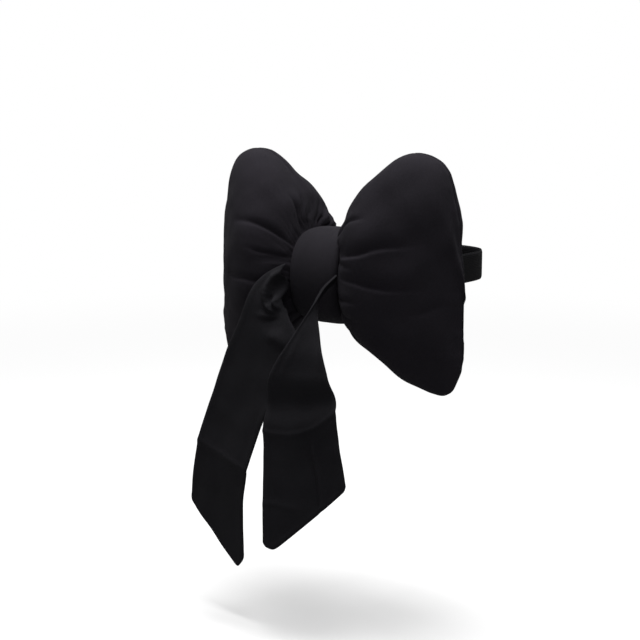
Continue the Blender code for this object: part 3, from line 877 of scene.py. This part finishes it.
def make_strap(line, material):
    """The elastic strap: a flat band with thinner edges, its two ends turned flat on the wings' backs."""
    ahead = np.gradient(line, axis=0)
    ahead /= np.linalg.norm(ahead, axis=1)[:, None]
    beside = np.stack([-ahead[:, 1], ahead[:, 0]], axis=1)
    across = np.linspace(-1, 1, STRAP_ACROSS)
    half = STRAP_THICKNESS / 2 * np.sqrt(np.clip(1 - np.abs(across) ** 12, 0.04, 1))
    run = run_along(line)
    points = []
    uv = []
    for place, offset, along in zip(line, beside, run):
        z = STRAP_HEIGHT + across * STRAP_WIDTH / 2
        for sign, order in ((-1, slice(None)), (1, slice(None, None, -1))):
            for height, thick in zip(z[order], half[order]):
                points.append((*(place + sign * offset * thick), height))
                uv.append((height, along))
    columns = 2 * STRAP_ACROSS
    faces = grid_faces(STRAP_STEPS, columns, closed_columns=True)
    faces.append(tuple(range(columns)))
    faces.append(tuple(range(len(points) - 1, len(points) - columns - 1, -1)))
    return cloth_object("elastic_back_strap", points, faces, material, uv)


# Material and geometry nodes


def set_inputs(node, inputs):
    """Gives each named or numbered input of a node a value, or joins another node's output to it."""
    for key, value in inputs.items():
        if isinstance(value, bpy.types.NodeSocket):
            node.id_data.links.new(value, node.inputs[key])
        else:
            node.inputs[key].default_value = value


def add_node(tree, kind, inputs=None, output=0, **settings):
    """One output of a new node with the given inputs and settings."""
    node = tree.nodes.new(kind)
    for name, value in settings.items():
        setattr(node, name, value)
    set_inputs(node, inputs or {})
    return node.outputs[output]


def math_node(tree, operation, *values):
    return add_node(tree, "ShaderNodeMath", dict(enumerate(values)), operation=operation)


def mixed(tree, share, first, second, blend_type="MIX"):
    """A colour between two colours, or two blended in another way, by a share."""
    colours = {MIX_SHARE: share, MIX_FIRST: first, MIX_SECOND: second}
    return add_node(tree, "ShaderNodeMix", colours, MIX_COLOUR, data_type="RGBA", blend_type=blend_type)


def stretched(tree, value, **ends):
    """A value carried over from one range to another."""
    ends = {name.replace("_", " ").title(): end for name, end in ends.items()}
    return add_node(tree, "ShaderNodeMapRange", {"Value": value, **ends})


def bumped(tree, height, strength, distance, normal=None):
    """The normal of a surface with fine relief, over a coarser relief's normal where one is given."""
    relief = {"Height": height, "Strength": strength, "Distance": distance}
    if normal is not None:
        relief["Normal"] = normal
    return add_node(tree, "ShaderNodeBump", relief)


def node_group(name, kind, inputs, outputs):
    """A node group with named inputs and outputs, its given values, and the node that takes its results."""
    tree = bpy.data.node_groups.new(name, kind)
    for way, sockets in (("INPUT", inputs), ("OUTPUT", outputs)):
        for socket, what in sockets.items():
            tree.interface.new_socket(socket, in_out=way, socket_type="NodeSocket" + what)
    return tree, tree.nodes.new("NodeGroupInput").outputs, tree.nodes.new("NodeGroupOutput")


def new_material(name):
    made = bpy.data.materials.new(name)
    made.use_nodes = True
    return made, made.node_tree, made.node_tree.nodes["Principled BSDF"]


# Stitches


def stitch_tree():
    """Geometry nodes that lay rounded stitches along lines, at an even pitch and turned along them."""
    sizes = dict.fromkeys(("Pitch", "Length", "Width"), "Float")
    inputs = {"Lines": "Geometry", **sizes, "Thread": "Material"}
    tree, given, result = node_group("stitches", "GeometryNodeTree", inputs, {"Stitches": "Geometry"})
    curve = add_node(tree, "GeometryNodeMeshToCurve", {"Mesh": given["Lines"]})
    spacing = {"Curve": curve, "Length": given["Pitch"]}
    spaced = add_node(tree, "GeometryNodeResampleCurve", spacing, mode="LENGTH")
    ball = add_node(tree, "GeometryNodeMeshUVSphere", {"Segments": 8, "Rings": 6, "Radius": 0.5})
    size = add_node(tree, "ShaderNodeCombineXYZ", {0: given["Length"], 1: given["Width"], 2: given["Width"]})
    stitch = add_node(tree, "GeometryNodeTransform", {"Geometry": ball, "Scale": size})
    heading = {"Vector": add_node(tree, "GeometryNodeInputTangent")}
    turned = add_node(tree, "FunctionNodeAlignRotationToVector", heading, axis="X")
    laid = {"Points": spaced, "Instance": stitch, "Rotation": turned}
    placed = add_node(tree, "GeometryNodeInstanceOnPoints", laid)
    real = add_node(tree, "GeometryNodeRealizeInstances", {"Geometry": placed})
    finish = add_node(tree, "GeometryNodeSetMaterial", {"Geometry": real, "Material": given["Thread"]})
    set_inputs(result, {"Stitches": finish})
    return tree


def stitched(name, lines, tree, thread):
    """Lays stitches along the given lines of points, as a plain mesh."""
    points = []
    edges = []
    for line in lines:
        edges += [(len(points) + i, len(points) + i + 1) for i in range(len(line) - 1)]
        points += [tuple(map(float, point)) for point in line]
    mesh = bpy.data.meshes.new(name + " lines")
    mesh.from_pydata(points, edges, [])
    guide = placed_object(name + " lines", mesh)
    maker = guide.modifiers.new("stitches", "NODES")
    maker.node_group = tree
    given = {"Pitch": STITCH_PITCH, "Length": STITCH_LENGTH, "Width": STITCH_WIDTH, "Thread": thread}
    for socket in tree.interface.items_tree:
        if socket.name in given:
            maker[socket.identifier] = given[socket.name]
    bpy.context.view_layer.update()
    made_mesh = bpy.data.meshes.new_from_object(guide.evaluated_get(bpy.context.evaluated_depsgraph_get()))
    bpy.data.objects.remove(guide)
    made_mesh.shade_smooth()
    made = placed_object(name, made_mesh)
    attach(made, "root")


def tab_stitch_lines(line):
    """A box with a cross in it, on the outer face of the strap's tab on each wing."""
    run = run_along(line)
    half = STRAP_WIDTH / 2 - STITCH_INSET
    near, far = STITCH_INSET, STRAP_TAB - STITCH_INSET / 2
    corners = [(near, -half), (far, -half), (far, half), (near, half)]
    strokes = [*zip(corners, corners[1:] + corners[:1]), corners[::2], corners[1::2]]
    lines = []
    for side in (1, -1):
        for start, end in strokes:
            along, height = np.linspace(start, end, 24).T
            x, y = points_at(along, run, line).T
            lines.append(np.stack([side * x, y + STRAP_THICKNESS / 2, STRAP_HEIGHT + height], axis=1))
    return lines


def lap_stitch_lines(band):
    """Two rows of stitches across the back of the knot band, beside its lapped end."""
    surface = surface_of(band)
    lines = []
    for z in LAP_ROWS:
        row = []
        for x in np.linspace(-BAND_WIDTH / 2 + 2 * STITCH_INSET, BAND_WIDTH / 2 - 2 * STITCH_INSET, 60):
            place, normal, _, _ = surface.ray_cast(Vector((x, HALF_SPAN, z)), Vector((0, -1, 0)))
            row.append(place + normal * 0.1 * MM)
        lines.append(row)
    return lines


# Cloth, elastic and thread


def ridges(tree, source, period):
    """Rounded ridges across a coordinate: 0 in their valleys and 1 on their backs."""
    turned = math_node(tree, "MULTIPLY", source, math.pi / period)
    return math_node(tree, "ABSOLUTE", math_node(tree, "SINE", turned))


def plain_weave_group():
    """Plain weave from a cloth UV in metres: the threads' height, and a mask of the gaps between them."""
    inputs = {"Cloth": "Vector", "Threads per metre": "Float"}
    outputs = {"Height": "Float", "Gaps": "Float"}
    tree, given, result = node_group("plain weave", "ShaderNodeTree", inputs, outputs)
    scale = {0: given["Cloth"], "Scale": given["Threads per metre"]}
    scaled = add_node(tree, "ShaderNodeVectorMath", scale, operation="SCALE")
    warp, weft, _ = add_node(tree, "ShaderNodeSeparateXYZ", {0: scaled}).node.outputs
    warp_round = ridges(tree, warp, 1)
    weft_round = ridges(tree, weft, 1)
    cell = math_node(tree, "ADD", math_node(tree, "FLOOR", warp), math_node(tree, "FLOOR", weft))
    over = math_node(tree, "PINGPONG", cell, 1)
    under = math_node(tree, "SUBTRACT", 1, over)
    height = math_node(tree, "MULTIPLY_ADD", weft_round, under, math_node(tree, "MULTIPLY", warp_round, over))
    beside = [math_node(tree, "SUBTRACT", 1, thread) for thread in (warp_round, weft_round)]
    set_inputs(result, {"Height": height, "Gaps": math_node(tree, "MULTIPLY", *beside)})
    return tree


def cloth_tone_group():
    """Uneven dye and fuzz from Object coordinates: a colour between two given ones, and the fuzz's height."""
    inputs = {"Place": "Vector", "Dark": "Color", "Light": "Color"}
    outputs = {"Colour": "Color", "Fuzz": "Float"}
    tree, given, result = node_group("cloth tone", "ShaderNodeTree", inputs, outputs)
    noise = {"Vector": given["Place"], "Detail": 3}
    broad = add_node(tree, "ShaderNodeTexNoise", {**noise, "Scale": 26}, "Fac")
    fine = add_node(tree, "ShaderNodeTexNoise", {**noise, "Scale": 900}, "Fac")
    both = math_node(tree, "MULTIPLY_ADD", fine, 0.55, math_node(tree, "MULTIPLY", broad, 0.45))
    share = stretched(tree, both, from_min=0.32, from_max=0.68)
    set_inputs(result, {"Colour": mixed(tree, share, given["Dark"], given["Light"]), "Fuzz": fine})
    return tree


def woven_material(name, weave, tone, dark, light, threads, sheen, roughness, bump):
    """A dyed woven cloth: plain weave and fuzz in its bump; uneven dye, and painted shade in the gaps between
    the threads, in its colour.
    """
    made, tree, shader = new_material(name)
    place = add_node(tree, "ShaderNodeTexCoord", output="Object")
    cloth = add_node(tree, "ShaderNodeUVMap", uv_map="cloth")
    threads = {"Threads per metre": threads, "Cloth": cloth}
    woven = add_node(tree, "ShaderNodeGroup", threads, node_tree=weave).node.outputs
    dyes = {"Dark": (*dark, 1), "Light": (*light, 1), "Place": place}
    dyed = add_node(tree, "ShaderNodeGroup", dyes, node_tree=tone).node.outputs
    # Darker in the gaps between the threads: painted shade.
    gaps = stretched(tree, woven["Gaps"], to_min=1.0, to_max=0.25)
    colour = mixed(tree, GAP_SHADE, dyed["Colour"], gaps, "MULTIPLY")
    fuzz = bumped(tree, dyed["Fuzz"], 0.5 * bump, FUZZ_DEPTH)
    normal = bumped(tree, woven["Height"], bump, WEAVE_DEPTH, fuzz)
    set_inputs(shader, {"Base Color": colour, "Normal": normal, "Roughness": roughness})
    set_inputs(shader, {"Specular IOR Level": 0.10, "Sheen Weight": sheen, "Sheen Roughness": 0.45})
    set_inputs(shader, {"Sheen Tint": (0.86, 0.86, 1.0, 1)})
    return made


def elastic_material(name):
    """Ribbed woven elastic: fine ribs along the strap and cross threads. Its black is set darker as painted
    shade, and darker still in the ribs' valleys as painted shade.
    """
    made, tree, shader = new_material(name)
    cloth = add_node(tree, "ShaderNodeUVMap", uv_map="cloth")
    height, along, _ = add_node(tree, "ShaderNodeSeparateXYZ", {0: cloth}).node.outputs
    ribs = ridges(tree, height, RIB_PITCH)
    both = math_node(tree, "MULTIPLY_ADD", ridges(tree, along, CROSS_PITCH), 0.45, ribs)
    # The colours are set darker than the elastic's own black as painted shade, and darker in the valleys
    # between the ribs than on their backs: painted shade.
    colour = mixed(tree, ribs, (0.002, 0.002, 0.0023, 1), (0.0062, 0.0060, 0.0072, 1))
    set_inputs(shader, {"Base Color": colour, "Normal": bumped(tree, both, 0.7, 0.0003)})
    set_inputs(shader, {"Roughness": 0.62, "Specular IOR Level": 0.06})
    return made


def thread_material(name):
    """Twisted sewing thread: fine slanting ridges, with painted shade in their grooves, and a soft shine."""
    made, tree, shader = new_material(name)
    place = add_node(tree, "ShaderNodeTexCoord", output="Object")
    bands = {"Vector": place, "Scale": 900, "Distortion": 1.5}
    twist = add_node(tree, "ShaderNodeTexWave", bands, "Fac", bands_direction="DIAGONAL")
    # Lighter on the twist's ridges and darker in its grooves: painted shade.
    colour = mixed(tree, twist, (0.006, 0.006, 0.007, 1), (0.017, 0.016, 0.019, 1))
    set_inputs(shader, {"Base Color": colour, "Normal": bumped(tree, twist, 0.5, 0.0002)})
    set_inputs(shader, {"Roughness": 0.5, "Specular IOR Level": 0.15})
    return made


# Camera, floor and light


def direction(turn, rise):
    """The direction at an angle round the upright from +X, and at an angle above the level."""
    return Vector((math.cos(turn) * math.cos(rise), math.sin(turn) * math.cos(rise), math.sin(rise)))


def set_camera():
    """A level camera that puts the origin on its pixel of the frame."""
    turn = math.radians(CAMERA_TURN - 90)
    height = math.radians(CAMERA_HEIGHT)
    back = direction(turn, height)
    focal = LENS / SENSOR * FRAME_SIZE
    across, down = (math.atan((pixel - FRAME_SIZE / 2) / focal) for pixel in ORIGIN_PIXEL)
    ahead = direction(turn + math.pi + across, down - height)
    right = ahead.cross(Vector((0, 0, 1))).normalized()
    up = right.cross(ahead)
    lens = bpy.data.cameras.new("view")
    lens.lens = LENS
    lens.sensor_width = SENSOR
    made = placed_object("view", lens)
    facing = Matrix((right, up, -ahead)).transposed().to_4x4()
    made.matrix_world = Matrix.Translation(back * CAMERA_DISTANCE) @ facing
    bpy.context.scene.camera = made


def set_floor():
    """A pale floor that keeps the shadow near the pillow and is white further off, for the camera alone."""
    bpy.ops.mesh.primitive_plane_add(size=60, location=(0, 0, FLOOR_HEIGHT))
    floor = bpy.context.object
    floor.name = "pale_floor"
    surface, tree, shader = new_material("pale floor")
    seen = add_node(tree, "ShaderNodeLightPath", output="Is Camera Ray")
    tint = mixed(tree, seen, (0.22, 0.22, 0.22, 1), (0.80, 0.80, 0.80, 1))
    set_inputs(shader, {"Base Color": tint, "Roughness": 0.9})
    place = add_node(tree, "ShaderNodeTexCoord", output="Object")
    away = add_node(tree, "ShaderNodeVectorMath", {0: place}, "Value", operation="LENGTH")
    far = stretched(tree, away, from_min=0.2, from_max=2.2, to_min=0.25, to_max=1.0)
    far.node.interpolation_type = "SMOOTHSTEP"
    share = math_node(tree, "MULTIPLY", far, seen)
    glow = add_node(tree, "ShaderNodeEmission")
    blend = add_node(tree, "ShaderNodeMixShader", {0: share, 1: shader.outputs[0], 2: glow})
    set_inputs(tree.nodes["Material Output"], {"Surface": blend})
    floor.data.materials.append(surface)


def set_light():
    """A white surround for the camera, an even dimmer one for the pillow, and a soft light from above."""
    world = bpy.data.worlds.new("studio")
    bpy.context.scene.world = world
    world.use_nodes = True
    tree = world.node_tree
    seen = add_node(tree, "ShaderNodeLightPath", output="Is Camera Ray")
    strength = stretched(tree, seen, to_min=SURROUND_LIGHT, to_max=1.0)
    set_inputs(tree.nodes["Background"], {"Strength": strength, "Color": (1, 1, 1, 1)})
    lamp = bpy.data.lights.new("above", "AREA")
    lamp.shape = "RECTANGLE"
    lamp.size, lamp.size_y = LAMP_SIZE
    lamp.energy = LAMP_POWER
    made = placed_object("above", lamp)
    made.location = LAMP_PLACE
    made.rotation_euler = (Vector(LAMP_TARGET) - Vector(LAMP_PLACE)).to_track_quat("-Z", "Y").to_euler()
    bpy.context.scene.view_settings.view_transform = "Standard"


set_camera()
set_floor()
set_light()

weave = plain_weave_group()
tone = cloth_tone_group()
cushion_cloth = woven_material("black cushion cotton", weave, tone, *CUSHION_COTTON)
band_cloth = woven_material("black band cotton", weave, tone, *BAND_COTTON)
# The tails' cloth is darker than the cushion's as painted shade.
shaded_tail_cloth = woven_material("black tail cotton with painted shade", weave, tone, *SHADED_TAIL_COTTON)

cushion = make_cushion(cushion_cloth)
band = make_band(band_cloth)
behind = [surface_of(cushion), surface_of(band)]
left_end = (LEFT_TAIL_DROP, LEFT_CUT_RISE, LEFT_TIP_BEVEL)
left_way = (LEFT_ROUTE, left_tail_form, LEFT_FOLDS)
left_tail = make_tail("left_ribbon_tail", -1, *left_end, *left_way, behind, shaded_tail_cloth)
behind.append(surface_of(left_tail))
right_end = (RIGHT_TAIL_DROP, RIGHT_CUT_RISE, RIGHT_TIP_BEVEL)
right_way = (RIGHT_ROUTE, right_tail_form, RIGHT_FOLDS)
right_tail = make_tail("right_ribbon_tail", 1, *right_end, *right_way, behind, shaded_tail_cloth)
strap_line = strap_route(surface_of(cushion))
strap = make_strap(strap_line, elastic_material("black ribbed elastic with painted shade"))

for piece, node in (
    (cushion, "bow_cushion"),
    (band, "knot_band"),
    (left_tail, "left_tail"),
    (right_tail, "right_tail"),
    (strap, "back_strap"),
):
    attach(piece, "root")
    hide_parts(node)

stitches = stitch_tree()
thread = thread_material("black sewing thread")
stitched("strap_tab_stitches", tab_stitch_lines(strap_line), stitches, thread)
stitched("band_lap_stitches", lap_stitch_lines(band), stitches, thread)

bpy.context.view_layer.update()
